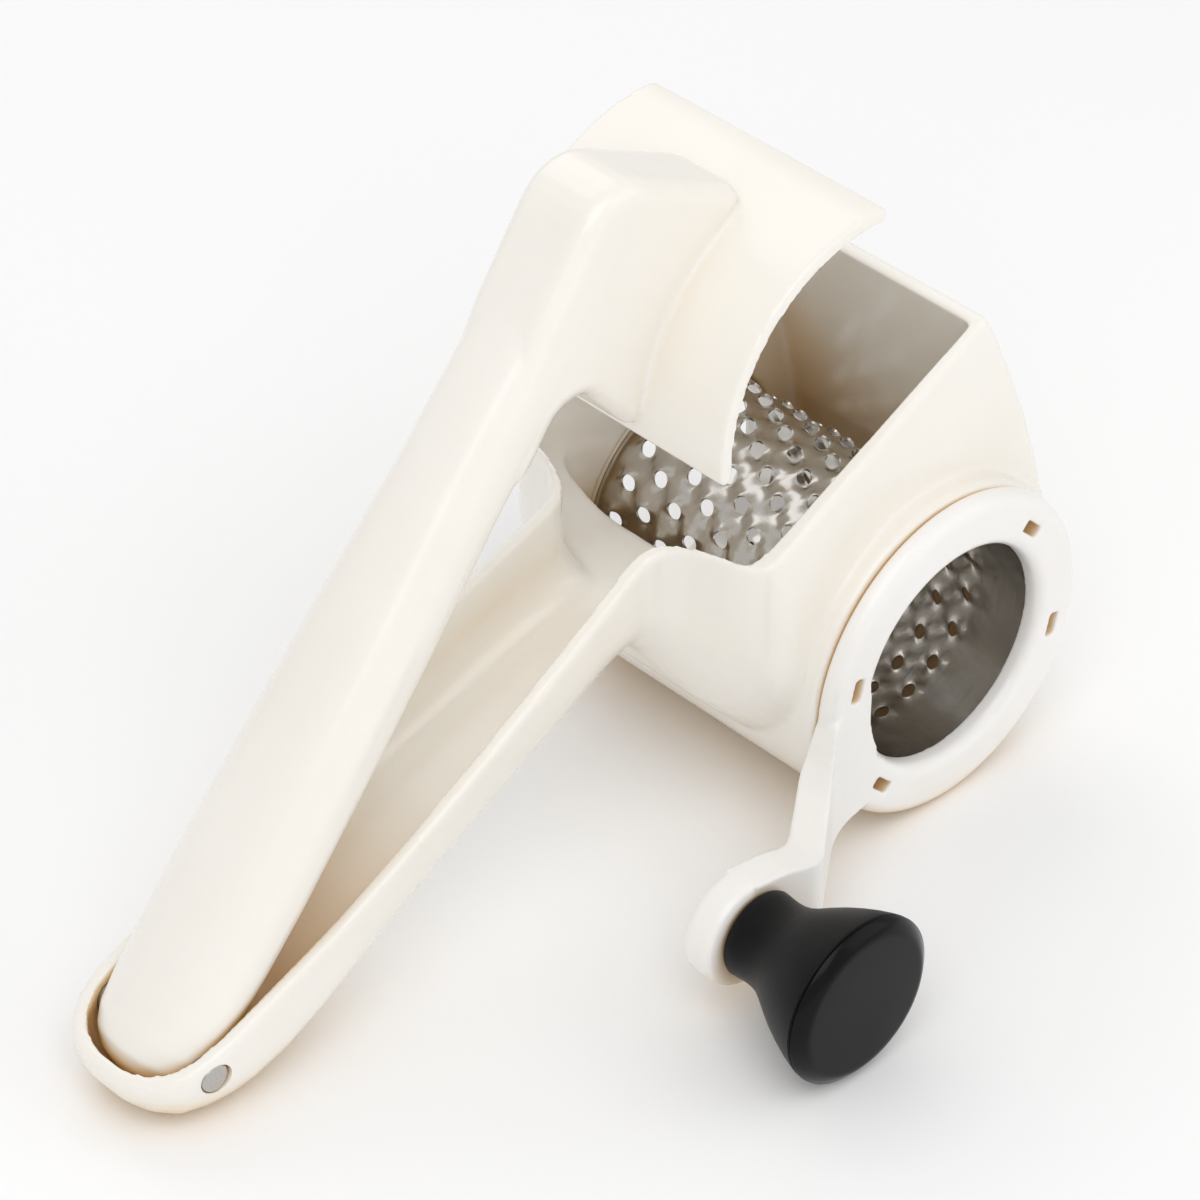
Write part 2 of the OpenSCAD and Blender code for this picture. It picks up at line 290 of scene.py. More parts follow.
def abs_plastic(name, light, dark, painted_shade, roughness, glow):
    """Moulded ABS: an opaque plastic with a little light carried under its skin.

    The polished mould leaves a gloss, with a faint orange-peel wave in the reflections.
    """
    material, shader, coordinates = surface(
        name, IOR=1.53, Subsurface_Weight=glow, Subsurface_Scale=0.004, Subsurface_Radius=(1.0, 0.8, 0.5),
        Coat_Weight=0.25, Coat_Roughness=0.12, Coat_IOR=1.5)
    links = material.node_tree.links
    flow = add(material, "ShaderNodeTexNoise", [("Vector", coordinates, "Object")],
               Scale=1 / (35 * MM), Detail=3.0, Roughness=0.5)
    tint = add(material, "ShaderNodeValToRGB", [("Fac", flow, "Fac")])
    tint.color_ramp.elements[0].position = 0.3
    tint.color_ramp.elements[0].color = dark
    tint.color_ramp.elements[1].position = 0.7
    tint.color_ramp.elements[1].color = light
    # Painted shade: in hollows found by ambient occlusion, the base colour is mixed toward a warm tan that paints
    # in the light that comes through the plastic and bounces about there
    painted_hollow_shade = add(material, "ShaderNodeAmbientOcclusion", samples=8, Distance=28 * MM)
    shade_amount = add(material, "ShaderNodeMapRange", [("Value", painted_hollow_shade, "AO")], From_Min=0.1, From_Max=0.6,
                To_Min=1.0, To_Max=0.0)
    shaded_base = add(material, "ShaderNodeMix", [("Factor", shade_amount, "Result"), ("A", tint, "Color")],
               data_type="RGBA")
    shaded_base.inputs[7].default_value = painted_shade
    links.new(shaded_base.outputs[2], shader.inputs["Base Color"])
    sheen = add(material, "ShaderNodeMapRange", [("Value", flow, "Fac")],
                To_Min=roughness - 0.03, To_Max=roughness + 0.04)
    links.new(sheen.outputs["Result"], shader.inputs["Roughness"])
    # Orange peel: soft waves about 5 mm across, and a mould grain of 0.4 mm
    wave = add(material, "ShaderNodeTexNoise", [("Vector", coordinates, "Object")],
               Scale=1 / (5 * MM), Detail=1.0)
    peel = add(material, "ShaderNodeBump", [("Height", wave, "Fac")], Strength=0.12, Distance=0.15 * MM)
    grain = add(material, "ShaderNodeTexNoise", [("Vector", coordinates, "Object")],
                Scale=1 / (0.4 * MM), Detail=2.0)
    fine = add(material, "ShaderNodeBump", [("Height", grain, "Fac"), ("Normal", peel, "Normal")],
               Strength=0.08, Distance=0.02 * MM)
    links.new(fine.outputs["Normal"], shader.inputs["Normal"])
    return material


def stainless_sheet():
    """Stainless steel strip, bright rolled: a mirror-like metal with fine rolling marks."""
    material, shader, coordinates = surface("stainless_steel_bright_rolled", Metallic=1.0)
    shader.inputs["Base Color"].default_value = linear("C9C5BF")
    links = material.node_tree.links
    stretch = add(material, "ShaderNodeMapping", [("Vector", coordinates, "Object")],
                  Scale=(1.0, 14.0, 1.0))
    # Rolling marks about 0.8 mm apart along the drum
    marks = add(material, "ShaderNodeTexNoise", [("Vector", stretch, "Vector")],
                Scale=1 / (11 * MM), Detail=4.0, Roughness=0.6)
    sheen = add(material, "ShaderNodeMapRange", [("Value", marks, "Fac")], To_Min=0.13, To_Max=0.3)
    links.new(sheen.outputs["Result"], shader.inputs["Roughness"])
    cloud = add(material, "ShaderNodeTexNoise", [("Vector", coordinates, "Object")],
                Scale=1 / (9 * MM), Detail=2.0)
    buckle = add(material, "ShaderNodeBump", [("Height", cloud, "Fac")], Strength=0.08, Distance=0.35 * MM)
    scratch = add(material, "ShaderNodeBump", [("Height", marks, "Fac"), ("Normal", buckle, "Normal")],
                  Strength=0.15, Distance=0.04 * MM)
    links.new(scratch.outputs["Normal"], shader.inputs["Normal"])
    return material


def turned_steel():
    """Turned steel rod: fine rings around the axis from the lathe, on a satin metal."""
    material, shader, coordinates = surface("steel_turned", Metallic=1.0)
    shader.inputs["Base Color"].default_value = linear("BDBAB6")
    links = material.node_tree.links
    centred = add(material, "ShaderNodeMapping", [("Vector", coordinates, "Object")],
                  Location=-JOINTS["lever_hinge"])
    # Tool marks 0.35 mm apart
    rings = add(material, "ShaderNodeTexWave", [("Vector", centred, "Vector")],
                wave_type="RINGS", rings_direction="Y", Scale=1 / (0.35 * MM) / 20, Distortion=0.6)
    sheen = add(material, "ShaderNodeMapRange", [("Value", rings, "Fac")], To_Min=0.22, To_Max=0.36)
    links.new(sheen.outputs["Result"], shader.inputs["Roughness"])
    cut = add(material, "ShaderNodeBump", [("Height", rings, "Fac")], Strength=0.2, Distance=0.03 * MM)
    links.new(cut.outputs["Normal"], shader.inputs["Normal"])
    return material


def black_plastic(name, light, roughness, spark_bump):
    """Black ABS. Spark erosion in the mould gives a satin skin of fine pits, and without it a gloss."""
    material, shader, coordinates = surface(name, IOR=1.53, Roughness=roughness, Specular_IOR_Level=0.14)
    links = material.node_tree.links
    cloud = add(material, "ShaderNodeTexNoise", [("Vector", coordinates, "Object")],
                Scale=1 / (12 * MM), Detail=3.0)
    tint = add(material, "ShaderNodeValToRGB", [("Fac", cloud, "Fac")])
    tint.color_ramp.elements[0].color = linear("060607")
    tint.color_ramp.elements[1].color = light
    links.new(tint.outputs["Color"], shader.inputs["Base Color"])
    # The real pits are about 0.1 mm; they are drawn at 0.45 mm so that they show
    pits = add(material, "ShaderNodeTexNoise", [("Vector", coordinates, "Object")],
               Scale=1 / (0.45 * MM), Detail=2.0, Roughness=0.6)
    skin = add(material, "ShaderNodeBump", [("Height", pits, "Fac")], Strength=spark_bump, Distance=0.06 * MM)
    links.new(skin.outputs["Normal"], shader.inputs["Normal"])
    return material


def material(name):
    """The finish of that name, made once from the colours in the panel."""
    finish = bpy.context.scene.grater_finish
    makers = {
        "abs_ivory_polished": lambda: abs_plastic(
            "abs_ivory_polished", finish.ivory, finish.ivory_shade, finish.painted_hollow_shade, roughness=0.24, glow=0.12),
        "abs_white_polished": lambda: abs_plastic(
            "abs_white_polished", finish.white, finish.white_shade, finish.painted_hollow_shade, roughness=0.3, glow=0.08),
        "stainless_steel_bright_rolled": stainless_sheet,
        "steel_turned": turned_steel,
        "abs_black_spark_eroded": lambda: black_plastic(
            "abs_black_spark_eroded", finish.black, roughness=0.42, spark_bump=0.5),
        "abs_black_gloss": lambda: black_plastic("abs_black_gloss", finish.black, roughness=0.2, spark_bump=0.03),
    }
    return bpy.data.materials.get(name) or makers[name]()


# --- Settings ------------------------------------------------------------------------------------

def length(name, description, default):
    """A length property in metres, whose default is given in mm."""
    return bpy.props.FloatProperty(
        name=name, description=description, default=default * MM, min=0, unit="LENGTH", precision=4)


def colour(name, description, code):
    """A colour property whose default is an sRGB hex code."""
    return bpy.props.FloatVectorProperty(
        name=name, description=description, default=linear(code), size=4, min=0, max=1, subtype="COLOR")


class GraterSize(bpy.types.PropertyGroup):
    """Sizes that shape the pieces."""

    wall: length("Wall", "Thickness of the body's walls", 2.7)
    barrel: length("Barrel radius", "Outer radius of the barrel", 35)
    hole: length("Hole radius", "Radius of one grating hole", 1.55)
    tooth: length("Tooth height", "How far a cutting lip stands out of the drum", 0.85)
    sheet: length("Sheet", "Thickness of the drum's sheet", 0.5)
    web: length("Web half width", "Half width of the web between the lever's bar and its pusher", 9.5)
    plate: length("Pusher", "Thickness of the pusher's curved plate", 2.8)
    holes_around: bpy.props.IntProperty(
        name="Holes around", description="Grating holes in one row around the drum", default=20, min=8, max=24)
    hole_rows: bpy.props.IntProperty(
        name="Rows of holes", description="Rows of grating holes along the drum", default=9, min=3, max=9)


class GraterFinish(bpy.types.PropertyGroup):
    """Colours of the pieces."""

    ivory: colour("Ivory", "Body and lever", "F6F2EB")
    ivory_shade: colour("Ivory, flow marks", "Slightly darker ivory where the plastic flowed", "F3EEE5")
    # Painted shade: the warm tan mixed into the ivory and white base colours in hollows, in place of light bounced
    # about inside them
    painted_hollow_shade: colour("Ivory, hollows", "Warm tone that the plastic takes in its hollows", "E6C48C")
    white: colour("White", "Crank", "F6F4F1")
    white_shade: colour("White, flow marks", "Slightly darker white where the plastic flowed", "F3F0EC")
    black: colour("Black", "Knob and its cap", "0E0E11")
    floor: colour("Floor", "Floor and backdrop", "FAFAFA")


# --- Body ----------------------------------------------------------------------------------------

# Outside of the lower handle: (x, half width, underside, radius of the lower edges)
HANDLE = [
    (-177.5, 3, -25, 3), (-177.1, 6.5, -26.4, 5), (-175.8, 10, -28.6, 7), (-173, 13.2, -31.4, 9),
    (-169, 15.8, -33.8, 11), (-164, 17, -34.8, 12), (-159, 17.3, -35, 12), (-154, 17.3, -34.6, 12),
    (-147, 17.3, -32.6, 12), (-139, 17.3, -28.8, 12), (-130, 17.3, -23.4, 12), (-120, 17.3, -17.4, 12),
    (-110, 17.1, -12.1, 12), (-100, 16.8, -7.1, 12), (-90, 16.3, -2.7, 12), (-80, 15.7, 1.5, 12),
    (-70, 15, 5.8, 12), (-62, 14.3, 8.8, 12), (-57, 13.8, 9.8, 12), (-54, 13.7, 9.6, 12),
    (-52, 14.2, 8.8, 12), (-50, 15.6, 7.6, 13), (-48.3, 18.6, 6.2, 15), (-46.8, 23, 4.4, 17),
    (-45.4, 27.6, 2.4, 19), (-44, 31, 0.2, 20), (-42, 33.6, -3, 20), (-39.5, 35, -6.2, 20),
    (-36, 36, -10, 20), (-30, 36.8, -16, 20), (-22, 36.8, -20, 20)]
# Inside of the trough, up to the crest before the drum: (x, half width, floor, corner radius)
TROUGH = [
    (-174.7, 4, -23.6, 3), (-173.4, 8.2, -26.6, 5), (-170.6, 11.6, -29.6, 7), (-166, 13.8, -31.5, 8),
    (-160, 14.3, -32, 8), (-154, 14.3, -31.5, 8), (-147, 14.3, -29.5, 8), (-139, 14.3, -25.8, 8),
    (-130, 14.3, -20.4, 8), (-120, 14.3, -14.4, 8), (-110, 14.1, -9.1, 8), (-100, 13.8, -4.1, 8),
    (-90, 13.3, 0.3, 8), (-80, 12.7, 4.5, 8), (-70, 12, 8.8, 8), (-62, 11.3, 12, 8), (-57, 10.8, 13.6, 8),
    (-54, 10.7, 14.4, 8), (-51.5, 11.3, 15, 8.5), (-49.3, 13.4, 15.4, 10), (-47.6, 17, 15.6, 12),
    (-46.2, 21.5, 15.7, 13), (-44.8, 26, 15.8, 13), (-43, 29.4, 15.8, 13), (-40, 30.8, 15.8, 13),
    (-36, 31, 15.6, 13), (-31.5, 31, 15, 13), (-27, 31, 12, 13)]
# Side view of the handle's rail and the hopper's rim, from the pivot end to the far wall
RAIL = [
    (-177.5, -22.8, 1.5), (-167, -18.4, 12), (-152, -12.6, 30), (-134, -5.4, 60), (-116, 3.5, 0),
    (-78, 22.6, 0), (-53, 34.8, 12), (-47, 37.8, 5), (-42, 37.2, 4), (-40, 38.9, 0)]
# Below: from inside the barrel along its tangent to the handle, whose own form is left uncut
UNDERSIDE = [(-14, -30, 0), (-26.1, -23.3, 0), (-56.2, 10.5, 0), (-60, 4, 0), (-178, -60, 0)]


def trough_section(x, half, floor, radius, top=95):
    """A U-shaped ring across the handle at x, open towards the top."""
    ring = rounded([(-half, top, 0), (-half, floor, radius), (half, floor, radius), (half, top, 0)], 8)
    return [(x, y, z) for y, z in ring]


def round_rod(name, radius, low, high, centre=(0, 0), edge=0.0):
    """A cylinder along Y, with its edges rounded off by a small radius."""
    if edge:
        profile = [(0, low), (radius - edge, low), (radius, low + edge), (radius, high - edge),
                   (radius - edge, high), (0, high)]
    else:
        profile = [(0, low), (radius, low), (radius, high), (0, high)]
    return lathe(name, profile, centre)


class GRATER_OT_body(bpy.types.Operator):
    """Mould the hopper, the barrel and the trough-shaped lower handle as one shell"""

    bl_idname = "grater.body"
    bl_label = "Body"

    def execute(self, context):
        size = context.scene.grater_size
        barrel_r = size.barrel / MM
        pin = (PIN.x, PIN.z)
        far_inside, far_wall = 198, size.wall / MM
        low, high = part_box("body")
        half_length = (high.y - low.y) / 2 / MM

        side = rounded(UNDERSIDE + RAIL) + arc(pin, far_inside + far_wall, 26.2, 6.4, 24)
        shell = prism("body_side", side, -half_length, half_length)
        # Plan of the hopper, with rounded far corners; the handle's form flares out to meet it
        plan_half = rounded([(36.4, 0, 0), (36.4, 36.8, 7), (-24, 36.9, 0), (-24, 0, 0)])
        hopper = prism("hopper_plan", mirrored(plan_half), -34.2, 95, "Z")
        draft = prism("hopper_draft", [
            (-33, 70), (-36.6, 5), (-36.6, -60), (36.6, -60), (36.6, 5), (33, 70)], -190, 60, "X")
        handle = loft("handle_form", [trough_section(*row) for row in HANDLE])
        combine(hopper, "UNION", handle)
        combine(hopper, "INTERSECT", draft)
        combine(shell, "INTERSECT", hopper)

        barrel = round_rod("barrel", barrel_r, -half_length, half_length, edge=0.8)
        combine(shell, "UNION", barrel)

        inside_half, chute_r = 31, 138.8
        chute = prism("chute", arc(pin, chute_r, 5, 19.4, 16) + [(-30, 30), (-30, 95), (20, 95)]
                      + arc(pin, far_inside, 27, 5, 24) + [(20, 0)], -inside_half, inside_half)
        trough = loft("trough", [trough_section(*row) for row in TROUGH])
        # Chamber around the drum, bearings in both walls, and the lip and groove for the snap hooks
        half_bore = [(barrel_r - 2.2, inside_half), (26.4, inside_half), (26.4, 36.2), (29.9, 36.2), (29.9, 38.6),
                     (27.5, 38.6), (27.5, 50), (0, 50)]
        bore = lathe("bore", [(r, -y) for r, y in reversed(half_bore)] + half_bore)
        combine(shell, "DIFFERENCE", chute, trough, bore)
        mould(shell, 0.62, 10)
        combine(shell, "DIFFERENCE", round_rod("pin_bore", 3.22, -20, 20, pin))
        thin_out(shell)
        finish_piece(shell, "body_shell", "housing", material("abs_ivory_polished"),
                     ["body"], 40)
        return {"FINISHED"}


class GRATER_OT_pivot_pin(bpy.types.Operator):
    """Turn the steel pin that the lever swings on, with a small chamfer at each end"""

    bl_idname = "grater.pivot_pin"
    bl_label = "Pivot pin"

    def execute(self, context):
        low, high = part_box("pivot_pin")
        radius = (high.z - low.z) / 2 / MM
        # The rails are rounded here, so the pin's ends stop a little short to lie flush with them
        flush = 0.7
        ends = [(low.y - DRUM_AXIS.y) / MM + flush, (high.y - DRUM_AXIS.y) / MM - flush]
        profile = [(0, ends[0] + 0.15), (radius - 0.9, ends[0] + 0.1), (radius - 0.35, ends[0] + 0.18),
                   (radius - 0.05, ends[0] + 0.55), (radius, ends[0] + 1), (radius, ends[1] - 1),
                   (radius - 0.05, ends[1] - 0.55), (radius - 0.35, ends[1] - 0.18), (radius - 0.9, ends[1] - 0.1),
                   (0, ends[1] - 0.15)]
        pin = lathe("pivot_pin_turned", profile, (PIN.x, PIN.z), 64)
        finish_piece(pin, "pivot_pin_turned", "housing", material("steel_turned"),
                     ["pivot_pin"], 35)
        return {"FINISHED"}


# --- Press lever ---------------------------------------------------------------------------------

LEVER_SLOPE = math.radians(49.3)
# Sections of the bar: (distance from the pin, half width, half thickness, squareness)
BAR = [
    (-9, 2.6, 1.6, 2), (-8.4, 6, 3.6, 2), (-7, 9.2, 5.8, 2), (-4, 11.9, 7.8, 2.1), (0, 13.2, 8.8, 2.2),
    (7, 13.7, 9.2, 2.2), (18, 13.8, 9.4, 2.2), (35, 13.8, 9.5, 2.3), (60, 13.2, 9.4, 2.3), (85, 12.2, 9.3, 2.3),
    (100, 11.2, 9.2, 2.4), (112, 10.4, 9.1, 2.5), (124, 9.9, 9.1, 2.7), (136, 9.7, 9, 2.9), (148, 9.5, 8.8, 3.2),
    (158, 9, 8, 3.2)]


def on_bar(distance, up):
    """A point in the side view at a distance from the pin along the bar, and up from its middle."""
    return (PIN.x + distance * math.cos(LEVER_SLOPE) - up * math.sin(LEVER_SLOPE),
            PIN.z + distance * math.sin(LEVER_SLOPE) + up * math.cos(LEVER_SLOPE))


def bar_section(distance, half, thick, square, steps=40):
    """A rounded ring across the bar at a distance from the pin."""
    points = []
    for i in range(steps):
        t = 2 * math.pi * i / steps
        c, s = math.cos(t), math.sin(t)
        y = half * math.copysign(abs(c) ** (2 / square), c)
        up = thick * math.copysign(abs(s) ** (2 / square), s)
        x, z = on_bar(distance, up)
        points.append((x, y, z))
    return points


class GRATER_OT_press_lever(bpy.types.Operator):
    """Mould the press lever: its bar, the web at the elbow and the curved pusher"""

    bl_idname = "grater.press_lever"
    bl_label = "Press lever"

    def execute(self, context):
        size = context.scene.grater_size
        web_half = size.web / MM
        bar = loft("lever_bar", [bar_section(*row) for row in BAR])
        # The web: from the bar's end over the elbow, down to the pusher, and back under the arch
        web = prism("lever_web", rounded([
            (*on_bar(112, 2), 0), (*on_bar(118, -9.1), 10), (-67.5, 79.5, 7), (-51, 60, 0), (-46, 72, 0),
            (-39, 86, 0), (-25.5, 97.5, 0), (-24, 101.6, 0), (-58.5, 118.6, 12), (*on_bar(146, 8.8), 30)]),
            -web_half, web_half)
        apply(web, "BEVEL", width=3.4 * MM, segments=4, limit_method="ANGLE", angle_limit=math.radians(50))
        centre, outside = (-13, 63), 37.6
        inside = outside - size.plate / MM
        plate = prism("pusher", arc(centre, outside, 84.5, 184, 40) + [(-50.5, 58.7), (-48.4, 58.7)]
                      + arc(centre, inside, 184, 84, 40), -30, 30)
        lever = join(bar, web, plate)
        mould(lever, 0.5, 6)
        combine(lever, "DIFFERENCE", round_rod("pin_bore", 3.2, -20, 20, (PIN.x, PIN.z)))
        thin_out(lever)
        finish_piece(lever, "press_lever_moulding", "press_lever", material("abs_ivory_polished"),
                     ["lever"], 40)
        return {"FINISHED"}


# --- Drum ----------------------------------------------------------------------------------------

# Points around one hole, and the distance between two rows of holes in mm
RING = 16
ROW_PITCH = 6.4


def extrude_last(piece, count):
    """Extrudes the open loop of a piece's last vertices in place, and leaves the new loop selected."""
    edit(piece)
    bpy.ops.mesh.select_all(action="DESELECT")
    done()
    for vertex in piece.data.vertices[-count:]:
        vertex.select = True
    bpy.ops.object.mode_set(mode="EDIT")
    bpy.ops.mesh.extrude_edges_move()


class GRATER_OT_drum_sheet(bpy.types.Operator):
    """Punch the drum's sheet: staggered rows of holes, each with a raised lip and a dimple"""

    bl_idname = "grater.drum_sheet"
    bl_label = "Drum sheet"

    def execute(self, context):
        size = context.scene.grater_size
        low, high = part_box("drum_sheet")
        start, end = (low.y - DRUM_AXIS.y) / MM, (high.y - DRUM_AXIS.y) / MM
        radius = (high.z - low.z) / 2 / MM
        hole, lip, rows = size.hole / MM, size.tooth / MM, size.hole_rows
        around = 2 * math.pi * radius / size.holes_around
        # One cell of the flat sheet: rings of points from the hole's edge to the cell's border
        clear_selection()
        bpy.ops.mesh.primitive_circle_add(vertices=RING, radius=hole, fill_type="NOTHING", location=(0, 0, 0))
        cell = bpy.context.object
        for grow in (1.18, 1.3, 1.32):
            extrude_last(cell, RING)
            bpy.ops.transform.resize(value=(grow, grow, 1), center_override=(0, 0, 0))
            done()
        extrude_last(cell, RING)
        done()
        for vertex in cell.data.vertices[-RING:]:
            turn = math.degrees(math.atan2(vertex.co.y, vertex.co.x))
            step = round((turn + 45) / (360 / RING)) % RING
            along = (step % 4) / 4 * 2 - 1
            corner = [(1, along), (-along, 1), (-1, -along), (along, -1)][step // 4]
            vertex.co.x, vertex.co.y = corner[0] * around / 2, corner[1] * ROW_PITCH / 2
        # The punch pushes the lip out on one side of the hole and presses a dimple on the other
        lean = math.radians(38)
        for vertex in cell.data.vertices:
            u = vertex.co.x * math.cos(lean) + vertex.co.y * math.sin(lean)
            v = -vertex.co.x * math.sin(lean) + vertex.co.y * math.cos(lean)
            border = max(abs(vertex.co.x) / (around / 2), abs(vertex.co.y) / (ROW_PITCH / 2))
            fade = max(0.0, 1 - border ** 4)
            push = math.exp(-(v / 1.9) ** 2) * fade
            raised = 1.15 * math.exp(-((u - 1.7) / 1.5) ** 2)
            pressed = 1.1 * math.exp(-((u + 1.9) / 1.7) ** 2)
            vertex.co.z = lip * push * (raised - pressed)
        # The flat sheet: the cell repeated around and along, each row shifted by half a cell
        sheet = cell
        apply(sheet, "ARRAY", count=size.holes_around, use_relative_offset=False, use_constant_offset=True,
              constant_offset_displace=(around, 0, 0), use_merge_vertices=True, merge_threshold=0.01)
        copies = []
        for row in range(1, rows):
            activate(sheet)
            bpy.ops.object.duplicate()
            copy = bpy.context.object
            copy.data.transform(Matrix.Translation(((row % 2) * around / 2, row * ROW_PITCH, 0)))
            copies.append(copy)
        join(sheet, *copies)
        # Plain margins at both ends, then the sheet is rolled round and its seam closed
        circle = around * size.holes_around
        edge_low, edge_high = -ROW_PITCH / 2, (rows - 0.5) * ROW_PITCH
        middle = (rows - 1) * ROW_PITCH / 2
        edit(sheet)
        bpy.ops.mesh.remove_doubles(threshold=0.01)
        bpy.ops.mesh.select_all(action="DESELECT")
        done()
        for edge_y, target in ((edge_low, start), (edge_high, end)):
            goal = target + middle
            steps = [edge_y + (goal - edge_y) * k / 3 for k in (1, 2, 3)]
            here = edge_y
            for y in steps:
                for vertex in sheet.data.vertices:
                    vertex.select = abs(vertex.co.y - here) < 1e-3
                for edge in sheet.data.edges:
                    edge.select = all(abs(sheet.data.vertices[i].co.y - here) < 1e-3 for i in edge.vertices)
                for face in sheet.data.polygons:
                    face.select = False
                bpy.ops.object.mode_set(mode="EDIT")
                bpy.ops.mesh.extrude_edges_move(TRANSFORM_OT_translate={"value": (0, y - here, 0)})
                bpy.ops.mesh.select_all(action="DESELECT")
                done()
                here = y
        for vertex in sheet.data.vertices:
            turn = vertex.co.x / circle * 2 * math.pi
            out = radius - size.sheet / 2 / MM + vertex.co.z
            y = vertex.co.y - middle
            vertex.co = place(out * math.sin(turn), y, out * math.cos(turn))
        edit(sheet)
        bpy.ops.mesh.remove_doubles(threshold=2e-5)
        bpy.ops.mesh.normals_make_consistent(inside=False)
        done()
        apply(sheet, "SOLIDIFY", thickness=size.sheet, offset=0)
        finish_piece(sheet, "drum_sheet_punched", "drum_and_crank",
                     material("stainless_steel_bright_rolled"), ["drum_sheet"], 40)
        return {"FINISHED"}


class GRATER_OT_drum_sleeves(bpy.types.Operator):
    """Mould the two plastic sleeves that the drum's ends sit in"""

    bl_idname = "grater.drum_sleeves"
    bl_label = "Drum sleeves"

    def execute(self, context):
        inner = 25
        for node, flange in (("drum_hub", False), ("drum_end_ring", True)):
            low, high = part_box(node)
            start, end = (low.y - DRUM_AXIS.y) / MM, (high.y - DRUM_AXIS.y) / MM
            outer = (high.z - low.z) / 2 / MM
            profile = [(inner, start + 0.2), (inner + 0.2, start), (outer - 0.3, start), (outer, start + 0.3),
                       (outer, end - 0.4), (outer - 0.12, end - 0.12), (outer - 0.4, end)]
            if flange:
                profile += [(inner - 0.1, end), (inner - 0.4, end - 0.12), (inner - 0.5, end - 0.4),
                            (inner - 0.5, end - 1.4), (inner, end - 1.4)]
            else:
                profile += [(inner, end)]
            sleeve = lathe(node, profile, closed=True)
            finish_piece(sleeve, node + "_moulding", "drum_and_crank",
                         material("abs_ivory_polished"), [node], 40)
        return {"FINISHED"}


# --- Crank and knob ------------------------------------------------------------------------------

# Angles of the snap hooks, and of the windows in front of them, around the drum's axis
HOOK_ANGLES = [196 + side + spread for side in (0, 180) for spread in (-30, 30)]


def turned_box(name, size, middle, angle):
    """A box of (radial, along, across) size, whose middle lies at (radius, y), turned to an angle."""
    bpy.ops.object.select_all(action="DESELECT")
    bpy.ops.mesh.primitive_cube_add(size=1, location=(0, 0, 0))
    piece = bpy.context.object
    piece.name = name
    piece.data.transform(Matrix.Diagonal((*[s * MM for s in size], 1)))
    piece.data.transform(Matrix.Translation((middle[0] * MM, middle[1] * MM, 0)))
    piece.data.transform(Matrix.Rotation(-math.radians(angle), 4, "Y"))
    piece.data.transform(Matrix.Translation(DRUM_AXIS))
    return piece


class GRATER_OT_crank(bpy.types.Operator):
    """Mould the crank: a ring with four windows and snap hooks, the stepped arm and its boss"""

    bl_idname = "grater.crank"
    bl_label = "Crank"

    def execute(self, context):
        back, front, outside, opening = -40.3, -44.5, 34.8, 23.5
        profile = [(opening, back), (outside - 0.8, back), (outside - 0.2, back - 0.3), (outside, back - 0.9)]
        profile += arc((outside - 3, front + 3), 3, 0, -90, 8)
        profile += arc((opening + 2.6, front + 2.6), 2.6, -90, -180, 8)
        ring = lathe("crank_ring", profile, steps=128, closed=True)
        # Side view of the arm, then its step outwards between the ring and the boss
        arm = prism("crank_arm", rounded([
            (-24, 6, 0), (-34.2, 2, 3), (-38.5, -8, 10), (-50, -12.2, 12), (-61, -8.4, 12), (-70, -6.9, 0),
            (-70, -29.9, 0), (-59.5, -28.8, 14), (-48, -26, 14), (-37.5, -28.8, 9), (-29, -24, 6), (-20, -22, 0)]),
            -62, -38)
        step = prism("arm_step", rounded([
            (-15, back, 0), (-38.5, back, 8), (-54, -51.7, 10), (-92, -51.7, 0), (-92, -59.4, 0),
            (-52, -59.4, 10), (-33.5, front, 10), (-15, front, 0)]), -50, 30, "Z")
        combine(arm, "INTERSECT", step)
        combine(arm, "DIFFERENCE", round_rod("opening", opening + 0.3, -70, -30))
        boss = lathe("crank_boss", [
            (0, -51.6), (9.6, -51.6), (10.9, -52.1), (11.5, -53.3), (11.5, -57.7), (10.9, -58.9),
            (9.6, -59.4), (0, -59.4)], (KNOB.x, KNOB.z - 1.2), 64)
        combine(ring, "UNION", arm, boss)
        for turn in HOOK_ANGLES:
            combine(ring, "DIFFERENCE", turned_box("window", (2.5, 20, 5.2), (28.5, -44), turn))
        mould(ring, 0.4, 5)
        hooks = []
        for turn in HOOK_ANGLES:
            hooks.append(turned_box("hook", (0.8, 4.6, 4.6), (26.9, -38.8), turn))
            hooks.append(turned_box("catch", (1.4, 1.2, 4.6), (27.9, -37.3), turn))
        for hook in hooks:
            apply(hook, "BEVEL", width=0.15 * MM, segments=2)
        crank = join(ring, *hooks)
        thin_out(crank)
        finish_piece(crank, "crank_moulding", "drum_and_crank", material("abs_white_polished"),
                     ["crank"], 50)
        return {"FINISHED"}


class GRATER_OT_knob(bpy.types.Operator):
    """Turn the flared knob and press its glossy cap on"""

    bl_idname = "grater.knob"
    bl_label = "Knob and cap"

    def execute(self, context):
        centre = (KNOB.x, KNOB.z)
        side = [(8.2, -60), (8.8, -60.2), (9.05, -60.7), (8.9, -62.5), (8.8, -64.5), (8.95, -66.4), (9.5, -68.4),
                (10.5, -70.4), (12.1, -73), (13.7, -75.8), (15.1, -78.7), (16.3, -81.6), (17.1, -84),
                (17.35, -85), (17.1, -85.3)]
        inside = [(7.2, -85.3), (7.2, -80.4), (2.6, -80.4), (2.6, -60)]
        knob = lathe("knob_grip", side + inside, centre, 128, closed=True)
        finish_piece(knob, "knob_grip", "crank_knob", material("abs_black_spark_eroded"),
                     ["knob"], 40)
        cap = lathe("knob_cap_disc", [
            (0, -85.45), (16.6, -85.45), (17.2, -85.5), (17.45, -85.8), (17.35, -86.2), (16.2, -87.1),
            (15.3, -87.75), (14.7, -87.95), (14, -88), (6, -88), (0, -88)], centre, 128)
        finish_piece(cap, "knob_cap_disc", "crank_knob", material("abs_black_gloss"),
                     ["knob_cap"], 40)
        return {"FINISHED"}


